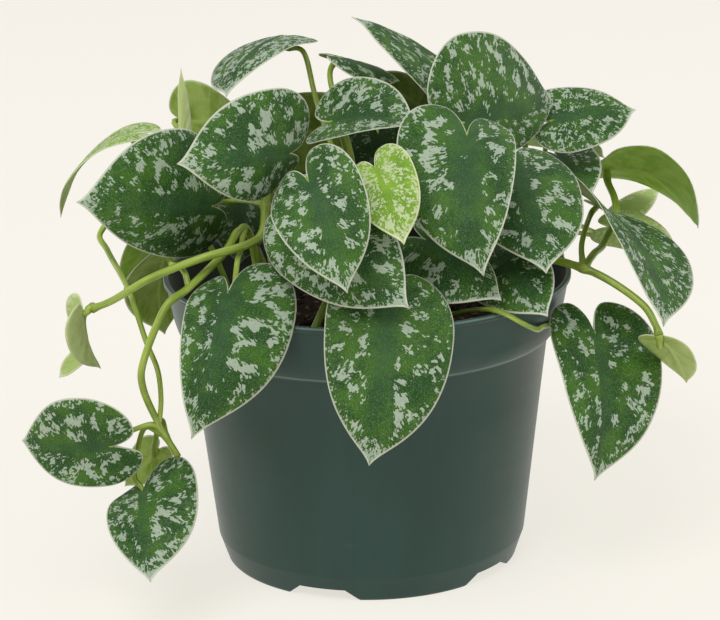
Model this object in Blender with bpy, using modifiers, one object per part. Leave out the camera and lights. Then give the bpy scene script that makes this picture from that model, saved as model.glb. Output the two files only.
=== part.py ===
# Potted satin pothos: a round nursery pot full of soil, with leafy stems that stand in it and trail over
# its rim.
# Frame: +Z up, the pot stands on z = 0 and its axis is the Z axis, the front is -Y.
# Every length below is in millimetres and is turned into metres by MM.

import math
from typing import NamedTuple

import bmesh
import bpy
from mathutils import Vector, geometry

MM = 0.001
UP = Vector((0, 0, 1))
GAP = 0.3  # between pieces that touch

# Pot
RIM_RADIUS = 76.0
POT_HEIGHT = 110.0
BAND_HEIGHT = 22.0
BODY_TOP_RADIUS = 67.3
BODY_FOOT_RADIUS = 58.2
CREASE_HEIGHT = 9.3
FOOT_RADIUS = 55.0
FOOT_RING_WIDTH = 7.5
FLOOR_HEIGHT = 4.6
POT_WALL = 1.3
POT_SIDES = 48
NOTCH_COUNT = 5
NOTCH_FIRST_ANGLE = -19.5  # degrees from the front, to the right
NOTCH_HEIGHT = 4.3
NOTCH_TOP_WIDTH = 17.5
NOTCH_FOOT_WIDTH = 28.0
DRAIN_RADIUS = 4.5
DRAIN_RING_RADIUS = 34.0
DRAIN_SIDES = 12

# Soil
SOIL_HEIGHT = 93.0
SOIL_RADIUS = 68.3
SOIL_RINGS = (14.0, 30.0, 46.0, 60.0)
SOIL_RELIEF = 1.2
SOIL_SIDES = 36
HOLE_CLEARANCE = 0.5
ROOT_DEPTH = 12.0

# Stems and petioles
STEM_RADIUS = 1.6
BRANCH_SHARE = 0.75  # a branch's thickness, as a share of its stem's
TUBE_RESOLUTION = 1
PETIOLE_POINTS = 6
PETIOLE_GAP = 0.4  # between a petiole's end and its blade
STEM_POINT_SPACING = 10.0

# Leaves
LEAF_THICKNESS = 0.8
LEAF_ROWS = 9
LEAF_COLUMNS = 2
# One half of a heart-shaped blade, for a leaf whose midrib is 1 long and whose width is 1: Bezier stretches
# from the sinus, round the lobe and past the widest place, to the tip, each with its ends and handles.
HALF_OUTLINE = (
    ((0.0, 0.0), (-0.06, 0.015), (-0.22, 0.07), (-0.22, 0.18)),
    ((-0.22, 0.18), (-0.22, 0.33), (-0.08, 0.50), (0.15, 0.50)),
    ((0.15, 0.50), (0.64, 0.50), (0.80, 0.25), (1.0, 0.0)),
)
OUTLINE_SHARES = (0.22, 0.52, 1.0)  # where each stretch ends, as a share of the margin's steps
VEIN_LAG = 2.2  # how far back from its margin point a row starts on the midrib


class Leaf(NamedTuple):
    """A blade and the petiole that carries it."""

    base: tuple  # where the petiole meets the blade
    tip: tuple
    face: tuple  # where the upper side looks: degrees to the right of the front, and above the horizon
    root: int  # the point of the stem's route that the petiole grows from
    width: float = 0.80  # as a share of the midrib's length
    arch: float = 35.0  # degrees that the midrib turns down from base to tip
    cup: tuple = (-0.12, -0.12)  # rise of the left and right margin, as a share of the half width
    hook: float = 0.0  # sideways bend of the midrib, as a share of its length
    twist: float = 0.0  # degrees that the blade turns about its midrib from base to tip
    lean: float = 0.0  # how much wider the left half is than the mean, as a share of it
    meet: float = 85.0  # degrees between the midrib and the petiole's end, negative if it comes from above
    reach: float = 8.0  # longest last stretch of the petiole, which points at the blade
    lift: float = 0.35  # how far the petiole first follows its own rise, as a share of its length
    via: tuple = ()  # points that the petiole passes through
    branch: int = 0  # which of the stem's routes it grows from
    stalk: float = 1.1  # radius of the petiole
    young: bool = False  # paler than a grown leaf


class Vine(NamedTuple):
    """Stems that are grown together, and the leaves on them."""

    routes: tuple  # each starts in the soil (two numbers) or inside another stem (three numbers)
    leaves: dict
    radius: float = STEM_RADIUS


VINES = {
    # The stem that reaches left over the rim, with a pair of young leaves at its end
    "vine_a": Vine(
        routes=(((-30, -24), (-34, -27, 118), (-36, -32, 144), (-37, -38, 136), (-42, -45, 133),
                 (-59, -56, 131), (-77, -52, 123), (-91, -44, 113), (-99, -41, 109)),),
        leaves={
            "leaf_a1": Leaf((-26, -37, 164), (-65, -67, 167), (-10, 11), 2, width=0.78, arch=53,
                            cup=(-0.31, -0.16), hook=-0.02, twist=32, lean=-0.17),
            "leaf_a2": Leaf((-55, -21, 141), (-102, -51, 151), (-8, 14), 2, arch=53, cup=(-0.35, -0.42),
                            lean=-0.18, via=((-47, -9, 140),)),
            "leaf_a3": Leaf((-103, -41, 107.6), (-97.5, -36, 84.7), (-91, -7), 8, arch=28, cup=(0.57, 0.68),
                            young=True),
            "leaf_a4": Leaf((-105, -25, 87), (-114, -25, 78), (-20, 30), 8, width=0.55, cup=(0.2, 0.2),
                            via=((-100, -33, 108), (-104, -26, 100)), young=True),
        },
    ),
    # The stems that hang down at the left and are grown together near their end
    "vine_b": Vine(
        routes=(
            ((-38, -14), (-42, -20, 128), (-46, -30, 134), (-51, -42, 129), (-63, -58, 121), (-71, -65, 116),
             (-79, -68, 98), (-80, -66, 87), (-75, -63, 72), (-69, -60, 59)),
            ((-50, 8), (-62, 4, 125), (-84, 2, 138), (-98, -4, 128), (-95, -14, 123), (-86, -38, 115),
             (-79, -56, 101), (-75, -61, 92), (-74, -63, 82), (-75, -63, 72)),
            ((-63, -58, 121), (-65, -53, 126), (-70, -47, 127)),
        ),
        leaves={
            "leaf_b1": Leaf((-49, -62, 121), (-62, -91, 76), (6, 8), 2, width=0.65, arch=72,
                            cup=(-0.22, 0.03), twist=-57, lean=0.28, meet=40,
                            via=((-45, -42, 130), (-46, -50, 128))),
            "leaf_b2": Leaf((-78, 38, 107), (-81, 46, 72), (-145, 0), 2, width=0.88, arch=44,
                            cup=(-0.09, -0.16), hook=-0.04, twist=14, lean=0.12,
                            via=((-76, 18, 116), (-73, 29, 107)), branch=1),
            "leaf_b3": Leaf((-91, -68, 66), (-126, -48, 62), (-1, -7), 8, width=0.85, cup=(0.12, -0.21),
                            twist=29, lean=-0.10),
            "leaf_b4": Leaf((-77, -46, 57), (-90, -44, 42), (170, -10), 8, width=0.75),
            "leaf_b5": Leaf((-82, -60, 47), (-78, -93, 24), (-8, 14), 8, width=0.82, arch=48,
                            cup=(-0.22, 0.17), twist=-45, lean=0.24, meet=-50),
            "leaf_b6": Leaf((-86, 2, 163), (-113, 3, 132), (-106, 52), 2, arch=74, cup=(-0.07, 0.13),
                            hook=0.05, branch=1, young=True),
            "leaf_b7": Leaf((-85, 53, 110), (-92, 58, 86), (-147, 8), 2, cup=(-0.20, -0.12), hook=0.09,
                            via=((-84, 24, 124), (-81, 43, 109)), branch=1),
        },
        radius=1.5,
    ),
    # The stem that reaches right over the rim
    "vine_c": Vine(
        routes=(((48, -6), (54, -10, 112), (64, -18, 118), (77, -26, 117), (88, -32, 113), (99, -39, 106),
                 (103, -44, 100), (104, -47, 97)),),
        leaves={
            "leaf_c1": Leaf((87, 9, 131), (107, -42, 98), (67, 29), 3, width=0.83, arch=46, cup=(0.28, 0.06),
                            hook=-0.02, twist=10, reach=4, via=((79, -13, 122),)),
            "leaf_c2": Leaf((95, 62, 132), (126, 30, 113), (138, 34), 3, width=0.87, arch=100,
                            cup=(0.11, -0.33), hook=-0.08, twist=-34, lean=-0.29, meet=88, reach=4.5, stalk=1.5,
                            via=((84, -8, 117), (88, 5, 116), (92, 20, 117), (96, 34, 120),
                                 (96.5, 46, 124))),
            "leaf_c3": Leaf((106, -40, 93), (115, -28, 73), (141, -11), 7, cup=(-0.10, -0.08), hook=-0.08,
                            twist=13, lift=0, young=True),
        },
    ),
    # Front stems
    "vine_d": Vine(
        routes=(((28, -44), (26, -44, 104), (24, -42, 112)),),
        leaves={
            "leaf_d1": Leaf((7, -74, 120), (-2, -93, 66), (7, 11), 2, width=0.77, arch=50, hook=0.02, twist=8,
                            lean=0.08, via=((15, -60, 111),)),
            "leaf_d2": Leaf((20, -37, 132), (47, -61, 115), (9, 45), 2, arch=27, width=0.81,
                            cup=(-0.24, -0.35), twist=-12, lean=-0.27),
            "leaf_d3": Leaf((46, -34, 124), (63, -65, 110), (2, 34), 2, width=0.83, cup=(-0.14, -0.15),
                            lean=-0.08, via=((36, -28, 115),)),
            "leaf_d4": Leaf((82, -32, 95), (77, -59, 47), (38, 0), 1, width=0.82, arch=50, cup=(0.16, -0.10),
                            hook=0.10, twist=-19, lean=0.14, meet=35, reach=0,
                            via=((36, -52, 109), (45, -61.5, 111.7), (55, -60, 106), (60, -50.5, 101),
                                 (62.6, -41, 99), (65.6, -34.5, 97.8), (69.5, -28.5, 97.3),
                                 (75, -25.5, 97))),
        },
    ),
    "vine_e": Vine(
        routes=(
            ((-22, -56), (-19, -54, 104), (-12, -48, 118)),
            ((-14, -58), (-13, -55, 104), (-12, -48, 118)),
        ),
        leaves={
            "leaf_e1": Leaf((-24, -62, 147), (14, -85, 120), (-11, 29), 2, width=0.77, cup=(-0.12, -0.23),
                            twist=-9, lean=0.05),
            "leaf_e2": Leaf((-20, -79, 165), (-7, -100, 130), (10, 27), 2, width=0.76, arch=55,
                            cup=(0, -0.15), twist=-47, via=((-9, -44, 148), (-12, -54, 167))),
            "leaf_e3": Leaf((3, -64, 165), (12, -84, 142), (8, 27), 2, width=0.77, arch=46, cup=(0.05, -0.06),
                            hook=0.02, twist=-35, young=True),
        },
    ),
    # Middle stems
    "vine_f": Vine(
        routes=(((0, -8), (-2, -4, 112), (-4, 4, 132)),),
        leaves={
            "leaf_f1": Leaf((-13, -10, 169), (20, -29, 175), (1, 54), 2, width=0.83, arch=23,
                            cup=(0.02, 0.25), hook=-0.11, twist=-16, lean=0.21),
            "leaf_f2": Leaf((-30, 30, 193), (-50, -10, 179), (13, 112), 2, arch=44, cup=(-0.09, -0.31),
                            twist=24, lean=-0.20, meet=50, reach=4, via=((-17, 20, 168), (-22, 28, 187))),
            "leaf_f3": Leaf((-9, 24, 186), (14, 34, 173), (0, 74), 2, arch=19, cup=(-0.32, -0.28), hook=0.08,
                            twist=22),
            "leaf_f4": Leaf((24, 55, 158), (0, 60, 171), (170, 20), 2, via=((21, 20, 142), (26, 42, 152))),
            "leaf_f5": Leaf((-6, 42, 152), (-50, 44, 154), (180, 25), 2, width=0.95, arch=20,
                            via=((-13, 22, 143), (-11, 34, 148))),
        },
    ),
    "vine_g": Vine(
        routes=(((26, -4), (26, -8, 110), (26, -12, 126)),),
        leaves={
            "leaf_g1": Leaf((35, -12, 168), (71, 34, 169), (41, 7), 2, width=0.82, cup=(-0.24, -0.15),
                            hook=-0.06, twist=-12, lean=0.29),
            "leaf_g2": Leaf((36, -40, 171), (41, -78, 129), (-18, 30), 2, width=0.71, arch=52, cup=(0, 0.15),
                            hook=-0.02, twist=40, lean=-0.18, via=((29, -20, 150),)),
            "leaf_g3": Leaf((53.5, -18, 154.5), (61, -63, 125), (10, 35), 2, width=0.83, arch=28,
                            cup=(-0.20, -0.25), hook=0.03),
            "leaf_g4": Leaf((38, 28, 169), (-4, 25, 201), (81, 33), 2, arch=21, twist=10, meet=60),
        },
    ),
    # Right stems
    "vine_h": Vine(
        routes=(((46, 18), (52, 22, 112), (60, 28, 122)),),
        leaves={
            "leaf_h1": Leaf((70, 29, 159), (104, 41, 160), (8, 56), 2, width=0.85, arch=22, cup=(0, -0.19),
                            via=((66, 21, 140),)),
            "leaf_h2": Leaf((73, 42, 143.2), (84.5, 20, 131), (7, 29), 2, width=0.85, arch=36, hook=0.05,
                            lean=0.15),
            "leaf_h3": Leaf((100, 72, 109), (118, 80, 119), (-10, 50), 2, width=0.6, arch=25, meet=30,
                            lift=0.1, young=True),
            "leaf_h4": Leaf((95, 49, 112), (121, 41, 102), (15, 60), 2, arch=47, cup=(-0.04, 0),
                            via=((72, 44, 113), (88, 52, 108)), young=True),
        },
    ),
    "vine_i": Vine(
        routes=(((-36, 24), (-42, 26, 112), (-48, 28, 126)),),
        leaves={
            "leaf_i1": Leaf((-67, 43, 158), (-38, 20, 160), (177, 10), 2, width=0.83, arch=24, hook=0.06,
                            twist=34, lean=-0.09),
            "leaf_i2": Leaf((-67.5, 8, 150), (-67, 6, 187), (160, 0), 2, width=0.15, arch=4, cup=(0.8, 0.8),
                            meet=10, via=((-64, 14, 130), (-67.5, 6, 139)), young=True),
            "leaf_i3": Leaf((-47, 13, 136), (-48, 10, 110), (-10, 15), 2, width=0.9, arch=25),
        },
    ),
    # Back stems
    "vine_j": Vine(
        routes=(((-28, 44), (-30, 48, 112), (-34, 52, 128)),),
        leaves={
            "leaf_j1": Leaf((-52, 58, 138), (-84, 76, 122), (-130, 50), 2, width=0.82, arch=45, hook=0.04),
            "leaf_j2": Leaf((-34, 80, 120), (-42, 100, 74), (-160, 12), 1, arch=45, lean=0.1, lift=0.45),
            "leaf_j3": Leaf((-24, 63, 149), (-32, 99, 135), (-170, 55), 2, width=0.82, arch=40, twist=12),
        },
    ),
    "vine_k": Vine(
        routes=(((8, 40), (8, 44, 112), (6, 46, 124)),),
        leaves={
            "leaf_k1": Leaf((2, 62, 136), (10, 104, 118), (175, 55), 2, arch=45, hook=-0.03),
            "leaf_k2": Leaf((28, 66, 143), (38, 98, 130), (165, 55), 2, twist=-12, via=((22, 50, 134),)),
            "leaf_k3": Leaf((16, 84, 116), (12, 99, 70), (178, 12), 1, arch=38, lean=-0.1,
                            via=((11, 60, 113), (14, 76, 117))),
            "leaf_k4": Leaf((5, 30, 157), (8, 30, 128), (0, 15), 2, width=0.9, arch=30, via=((7, 43, 142),)),
        },
    ),
    "vine_l": Vine(
        routes=(((40, 36), (44, 42, 112), (48, 46, 122)),),
        leaves={
            "leaf_l1": Leaf((62, 62, 146), (96, 84, 131), (142, 42), 2, width=0.75, arch=30),
            "leaf_l2": Leaf((56, 64, 118), (72, 82, 72), (140, 12), 1, width=0.78, arch=42, lean=0.1,
                            via=((50, 54, 116),)),
        },
    ),
}


def mm(point):
    return Vector(point) * MM


def material(name, colour, roughness):
    made = bpy.data.materials.new(name)
    made.use_nodes = True
    shader = made.node_tree.nodes["Principled BSDF"]
    shader.inputs["Base Color"].default_value = (*colour, 1)
    shader.inputs["Roughness"].default_value = roughness
    shader.inputs["Metallic"].default_value = 0.0
    return made


def add_object(name, data, collection, finish=None):
    made = bpy.data.objects.new(name, data)
    collection.objects.link(made)
    if finish:
        data.materials.append(finish)
    return made


def turned(name, profile, sides, collection, finish):
    """A profile of (radius, height) points, from the axis and back to it, turned about Z."""
    mesh = bpy.data.meshes.new(name)
    points = [mm((radius, 0, height)) for radius, height in profile]
    mesh.from_pydata(points, [(i, i + 1) for i in range(len(points) - 1)], [])
    made = add_object(name, mesh, collection, finish)
    screw = made.modifiers.new("turn", "SCREW")
    screw.steps = screw.render_steps = sides
    screw.use_merge_vertices = True
    screw.merge_threshold = 0.00001
    screw.use_smooth_shade = True
    return made


def apply_modifiers(made):
    """The object's mesh becomes what its modifiers make of it."""
    bpy.context.view_layer.update()
    graph = bpy.context.evaluated_depsgraph_get()
    old = made.data
    made.data = bpy.data.meshes.new_from_object(made.evaluated_get(graph))
    made.data.name = made.name
    made.modifiers.clear()
    bpy.data.meshes.remove(old)


def boolean(made, operation, collection):
    """Cuts or joins a whole collection, then removes its objects."""
    modifier = made.modifiers.new(operation.lower(), "BOOLEAN")
    modifier.operation = operation
    modifier.operand_type = "COLLECTION"
    modifier.collection = collection
    apply_modifiers(made)
    for other in list(collection.objects):
        bpy.data.objects.remove(other)
    bpy.data.collections.remove(collection)


def helper_collection(name):
    made = bpy.data.collections.new(name)
    bpy.context.scene.collection.children.link(made)
    return made


def cylinder(name, radius, low, high, centre, sides, collection):
    mesh = bpy.data.meshes.new(name)
    shape = bmesh.new()
    bmesh.ops.create_cone(shape, cap_ends=True, segments=sides, radius1=radius * MM, radius2=radius * MM,
                          depth=(high - low) * MM)
    bmesh.ops.translate(shape, vec=mm((*centre, (low + high) / 2)), verts=shape.verts)
    shape.to_mesh(mesh)
    shape.free()
    return add_object(name, mesh, collection)


def around(radius, degrees):
    """The place at this distance from the pot's axis, at an angle to the right of the front."""
    angle = math.radians(degrees)
    return radius * math.sin(angle), -radius * math.cos(angle)


def notch_cutter(name, degrees, collection):
    """A block across the foot ring, wider at the surface that the pot stands on."""
    inner, outer, below = FOOT_RADIUS - 2 * FOOT_RING_WIDTH, FOOT_RADIUS + FOOT_RING_WIDTH, 2.0
    mesh = bpy.data.meshes.new(name)
    shape = bmesh.new()
    bmesh.ops.create_cube(shape, size=1)
    slope = (NOTCH_FOOT_WIDTH - NOTCH_TOP_WIDTH) / NOTCH_HEIGHT
    for corner in shape.verts:
        at_top = corner.co.z > 0
        width = NOTCH_TOP_WIDTH if at_top else NOTCH_FOOT_WIDTH + slope * below
        reach = outer if corner.co.y < 0 else inner
        corner.co = mm((math.copysign(width / 2, corner.co.x), -reach, NOTCH_HEIGHT if at_top else -below))
    shape.to_mesh(mesh)
    shape.free()
    made = add_object(name, mesh, collection)
    made.rotation_euler.z = math.radians(degrees)
    return made


def build_pot(collection):
    green = material("pot_plastic", (0.032, 0.075, 0.062), 0.42)
    band_foot = POT_HEIGHT - BAND_HEIGHT
    outside = [
        (RIM_RADIUS - 0.5, POT_HEIGHT), (RIM_RADIUS, POT_HEIGHT - 0.6), (RIM_RADIUS - 0.2, POT_HEIGHT - 1.8),
        (RIM_RADIUS - 1.2, POT_HEIGHT - 2.8), (RIM_RADIUS - 3.4, POT_HEIGHT - 15),
        (RIM_RADIUS - 4.6, POT_HEIGHT - 19), (RIM_RADIUS - 7, band_foot), (BODY_TOP_RADIUS, band_foot - 0.5),
        (BODY_FOOT_RADIUS, CREASE_HEIGHT), (FOOT_RADIUS + 0.3, 1.0), (FOOT_RADIUS - 0.6, 0),
    ]
    foot_inner = FOOT_RADIUS - FOOT_RING_WIDTH
    underside = [(foot_inner, 0), (foot_inner - 0.4, FLOOR_HEIGHT), (0, FLOOR_HEIGHT)]
    floor_top = FLOOR_HEIGHT + POT_WALL
    inside = [
        (0, floor_top), (BODY_FOOT_RADIUS - POT_WALL - 2, floor_top),
        (BODY_FOOT_RADIUS - POT_WALL, CREASE_HEIGHT + 1),
        (BODY_TOP_RADIUS - POT_WALL, band_foot - 1), (RIM_RADIUS - 7.6, band_foot + 1.2),
        (RIM_RADIUS - 2.4, POT_HEIGHT - 2.5), (RIM_RADIUS - 1.9, POT_HEIGHT),
    ]
    pot = turned("pot", inside + outside + underside, POT_SIDES, collection, green)
    cutters = helper_collection("pot cutters")
    for i in range(NOTCH_COUNT):
        degrees = NOTCH_FIRST_ANGLE + i * 360 / NOTCH_COUNT
        notch_cutter(f"notch_{i}", degrees, cutters)
        cylinder(f"drain_{i}", DRAIN_RADIUS, 0, 10, around(DRAIN_RING_RADIUS, degrees), DRAIN_SIDES, cutters)
    boolean(pot, "DIFFERENCE", cutters)


def soil_relief(x, y):
    """Height of the soil's top over its mean, at a place in millimetres."""
    return SOIL_RELIEF * (math.sin(x / 9 + 1) * math.cos(y / 11) + 0.6 * math.sin((x + y) / 6))


def build_soil(collection):
    brown = material("potting_soil", (0.022, 0.016, 0.012), 0.95)
    low = FLOOR_HEIGHT + POT_WALL + GAP
    low_radius = BODY_FOOT_RADIUS - POT_WALL - 2.6
    wall = [
        (SOIL_RADIUS, SOIL_HEIGHT), (SOIL_RADIUS - 0.7, POT_HEIGHT - BAND_HEIGHT + 2.2),
        (BODY_TOP_RADIUS - POT_WALL - 0.9, POT_HEIGHT - BAND_HEIGHT - 1.6),
        (BODY_FOOT_RADIUS - POT_WALL - 0.9, CREASE_HEIGHT + 1.2), (low_radius, low), (0, low),
    ]
    top = [(0, SOIL_HEIGHT)] + [(radius, SOIL_HEIGHT) for radius in SOIL_RINGS]
    soil = turned("soil", top + wall, SOIL_SIDES, collection, brown)
    apply_modifiers(soil)
    for vertex in soil.data.vertices:
        x, y, z = vertex.co / MM
        if z > SOIL_HEIGHT - 0.1 and math.hypot(x, y) < SOIL_RADIUS - 1:
            vertex.co.z += soil_relief(x, y) * MM
    holes = helper_collection("stem holes")
    for vine in VINES.values():
        for route in vine.routes:
            if len(route[0]) == 2:
                radius = vine.radius + HOLE_CLEARANCE
                cylinder("hole", radius, SOIL_HEIGHT - ROOT_DEPTH - GAP, SOIL_HEIGHT + 9, route[0], 10, holes)
    boolean(soil, "DIFFERENCE", holes)


def smooth_path(points, count):
    """count points, evenly spaced, on a smooth curve through the given ones."""
    points = [Vector(p) for p in points]
    ends = [2 * points[0] - points[1], *points, 2 * points[-1] - points[-2]]
    fine, steps = [], 12
    for before, start, end, after in zip(ends, ends[1:], ends[2:], ends[3:]):
        handles = start + (end - before) / 6, end - (after - start) / 6
        fine += geometry.interpolate_bezier(start, *handles, end, steps + 1)[:-1]
    fine.append(points[-1])
    lengths = [0.0]
    for a, b in zip(fine, fine[1:]):
        lengths.append(lengths[-1] + (b - a).length)
    found, i = [], 0
    for k in range(count):
        wanted = lengths[-1] * k / (count - 1)
        while i < len(fine) - 2 and lengths[i + 1] < wanted:
            i += 1
        share = (wanted - lengths[i]) / max(lengths[i + 1] - lengths[i], 1e-9)
        found.append(fine[i].lerp(fine[i + 1], share))
    return found


def leaf_axes(leaf):
    """The blade's own directions: along the chord to the tip, to its left, and up out of its upper side."""
    along = (Vector(leaf.tip) - Vector(leaf.base)).normalized()
    turn, height = (math.radians(a) for a in leaf.face)
    face = Vector((math.sin(turn) * math.cos(height), -math.cos(turn) * math.cos(height), math.sin(height)))
    upper = (face - along * face.dot(along)).normalized()
    return along, upper.cross(along), upper


def outline_point(share):
    """(along, across) on the margin of one half, for a share from 0 at the sinus to 1 at the tip."""
    start = 0.0
    for stretch, end in zip(HALF_OUTLINE, OUTLINE_SHARES):
        if share <= end:
            t = (share - start) / (end - start)
            weights = ((1 - t) ** 3, 3 * t * (1 - t) ** 2, 3 * t * t * (1 - t), t**3)
            return tuple(sum(w * p[i] for w, p in zip(weights, stretch)) for i in (0, 1))
        start = end
    return HALF_OUTLINE[-1][-1]


def blade_point(leaf, axes, along, across):
    """The point of the blade's middle surface at a flat place, in shares of the midrib's length."""
    along_axis, left_axis, upper_axis = axes
    chord = (Vector(leaf.tip) - Vector(leaf.base)).length
    arch = math.radians(leaf.arch)
    radius = chord / (2 * math.sin(arch / 2))
    length = radius * arch
    angle = arch * (along - 0.5)
    spine = along_axis * (math.sin(angle) + math.sin(arch / 2))
    spine += upper_axis * (math.cos(angle) - math.cos(arch / 2))
    upper = along_axis * math.sin(angle) + upper_axis * math.cos(angle)
    twist = math.radians(leaf.twist) * (along - 0.5)
    left = left_axis * math.cos(twist) + upper * math.sin(twist)
    upper = upper * math.cos(twist) - left_axis * math.sin(twist)
    half = leaf.width / 2
    cup = leaf.cup[0] if across > 0 else leaf.cup[1]
    rise = cup * half * (abs(across) / half) ** 1.6
    sideways = across + leaf.lean * abs(across) + leaf.hook * along * along
    return Vector(leaf.base) + spine * radius + (left * sideways + upper * rise) * length


def build_leaf(name, leaf, collection, finish):
    axes = leaf_axes(leaf)
    shape = bmesh.new()

    def vertex(row, column, side):
        share = row / LEAF_ROWS
        edge_along, edge_across = outline_point(share)
        rib = share**VEIN_LAG
        reach = column / LEAF_COLUMNS
        along = rib + (edge_along - rib) * reach
        across = edge_across * leaf.width * reach * side
        return shape.verts.new(blade_point(leaf, axes, along, across) * MM)

    rib = [vertex(row, 0, 1) for row in range(LEAF_ROWS + 1)]
    for side in (1, -1):
        inner = rib
        for column in range(1, LEAF_COLUMNS + 1):
            outer = [rib[0]] + [vertex(row, column, side) for row in range(1, LEAF_ROWS)] + [rib[-1]]
            for a, b, c, d in zip(inner, inner[1:], outer[1:], outer):
                for face in ((a, b, c), (a, c, d)):
                    if len(set(face)) == 3:
                        shape.faces.new(face if side < 0 else face[::-1])
            inner = outer
    mesh = bpy.data.meshes.new(name)
    shape.to_mesh(mesh)
    shape.free()
    made = add_object(name, mesh, collection, finish)
    thickness = made.modifiers.new("thickness", "SOLIDIFY")
    thickness.thickness = LEAF_THICKNESS * MM
    thickness.offset = 0
    mesh.shade_smooth()
    return made


def tube(name, points, radius, collection):
    """A closed tube as a mesh, along points in millimetres."""
    curve = bpy.data.curves.new(name, "CURVE")
    curve.dimensions = "3D"
    curve.bevel_depth = radius * MM
    curve.bevel_resolution = TUBE_RESOLUTION
    curve.use_fill_caps = True
    spline = curve.splines.new("POLY")
    spline.points.add(len(points) - 1)
    for place, point in zip(spline.points, points):
        place.co = (*mm(point), 1)
    guide = add_object(name + " route", curve, collection)
    bpy.context.view_layer.update()
    mesh = bpy.data.meshes.new_from_object(guide.evaluated_get(bpy.context.evaluated_depsgraph_get()))
    shape = bmesh.new()
    shape.from_mesh(mesh)
    bmesh.ops.remove_doubles(shape, verts=shape.verts, dist=0.00002)
    bmesh.ops.recalc_face_normals(shape, faces=shape.faces)
    shape.to_mesh(mesh)
    shape.free()
    bpy.data.objects.remove(guide)
    return add_object(name, mesh, collection)


def stem_path(route):
    """The stem's points. One that starts in the soil first goes straight up through its hole."""
    root = []
    if len(route[0]) == 2:
        x, y = route[0]
        root = [Vector((x, y, SOIL_HEIGHT - ROOT_DEPTH))]
        route = ((x, y, SOIL_HEIGHT + 3), *route[1:])
    length = sum((Vector(b) - Vector(a)).length for a, b in zip(route, route[1:]))
    return root + smooth_path(route, max(3, round(length / STEM_POINT_SPACING) + 1))


def base_directions(leaf):
    """At the blade's base: along its midrib, and up out of its upper side."""
    axes, step = leaf_axes(leaf), 0.02
    base = blade_point(leaf, axes, 0, 0)
    along = blade_point(leaf, axes, step, 0) - base
    left = blade_point(leaf, axes, 0, step) - base
    return along.normalized(), along.cross(left).normalized()


def droop_at_base(leaf, upper):
    """How far the blade comes down to its petiole's side, over the petiole's end."""
    axes = leaf_axes(leaf)
    step = leaf.stalk / (Vector(leaf.tip) - Vector(leaf.base)).length
    places = ((along, across) for along in (-step, 0, step) for across in (-step, 0, step))
    side = math.copysign(1, leaf.meet)
    return max(side * (Vector(leaf.base) - blade_point(leaf, axes, *place)).dot(upper) for place in places)


def petiole_path(vine, leaf):
    """From inside the stem to just under the blade's base, where it ends a small gap away from the blade."""
    along, upper = base_directions(leaf)
    meet = math.radians(leaf.meet)
    arrive = along * math.cos(meet) + upper * math.sin(meet)
    clear = LEAF_THICKNESS / 2 + PETIOLE_GAP + leaf.stalk * math.cos(meet) + droop_at_base(leaf, upper)
    end = Vector(leaf.base) - upper * math.copysign(clear, meet)
    route = vine.routes[leaf.branch]
    root = min(stem_path(route), key=lambda point: (point - Vector(route[leaf.root])).length)
    span = (end - root).length
    rise = ((end - root).normalized() + UP).normalized()
    middle = [Vector(p) for p in leaf.via] or [root + rise * span * leaf.lift]
    last = [end - arrive * min(span * 0.22, leaf.reach)] if leaf.reach else []
    return smooth_path([root, *middle, *last, end], PETIOLE_POINTS + len(leaf.via))


def build_vine(name, vine, collection, finish):
    main_route, *branches = vine.routes
    grown = helper_collection(name + " branches and petioles")
    for route in branches:
        tube(name + " branch", stem_path(route), vine.radius * BRANCH_SHARE, grown)
    for leaf_name, leaf in vine.leaves.items():
        tube(leaf_name + " petiole", petiole_path(vine, leaf), leaf.stalk, grown)
    stem = tube(name, stem_path(main_route), vine.radius, collection)
    stem.data.materials.append(finish)
    boolean(stem, "UNION", grown)
    stem.data.shade_smooth()
    return stem


def main():
    for old in list(bpy.data.objects):
        bpy.data.objects.remove(old)
    plant = helper_collection("potted satin pothos")
    build_pot(plant)
    build_soil(plant)
    stem_green = material("stem_green", (0.30, 0.42, 0.09), 0.5)
    leaf_green = material("leaf_satin", (0.06, 0.19, 0.05), 0.45)
    young_green = material("leaf_young", (0.32, 0.46, 0.13), 0.5)
    for name, vine in VINES.items():
        build_vine(name, vine, plant, stem_green)
        for leaf_name, leaf in vine.leaves.items():
            build_leaf(leaf_name, leaf, plant, young_green if leaf.young else leaf_green)


main()
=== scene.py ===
# Looks of the potted satin pothos: finer leaves, stems and pot, crumbs on the soil, the materials, and a
# studio with a camera at the photograph's angle. Lengths are in millimetres, and in metres for the lights.
# The front is -Y.
import itertools
import math
import random
from typing import NamedTuple

import bmesh
import bpy
import numpy as np
from mathutils import Matrix, Vector, geometry, noise


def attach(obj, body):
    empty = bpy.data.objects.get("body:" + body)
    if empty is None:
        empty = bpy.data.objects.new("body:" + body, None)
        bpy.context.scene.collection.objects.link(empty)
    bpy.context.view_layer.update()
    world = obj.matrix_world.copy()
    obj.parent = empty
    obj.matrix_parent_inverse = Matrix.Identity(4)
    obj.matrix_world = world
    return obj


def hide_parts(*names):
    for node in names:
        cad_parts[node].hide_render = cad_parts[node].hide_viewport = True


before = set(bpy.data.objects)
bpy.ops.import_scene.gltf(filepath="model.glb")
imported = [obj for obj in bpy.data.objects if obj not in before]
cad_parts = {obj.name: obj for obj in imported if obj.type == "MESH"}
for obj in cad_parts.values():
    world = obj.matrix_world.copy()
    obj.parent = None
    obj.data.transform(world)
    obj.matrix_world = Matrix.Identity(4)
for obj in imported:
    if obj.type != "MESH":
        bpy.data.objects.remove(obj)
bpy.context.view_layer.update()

MM = 0.001
UP = Vector((0, 0, 1))

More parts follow.
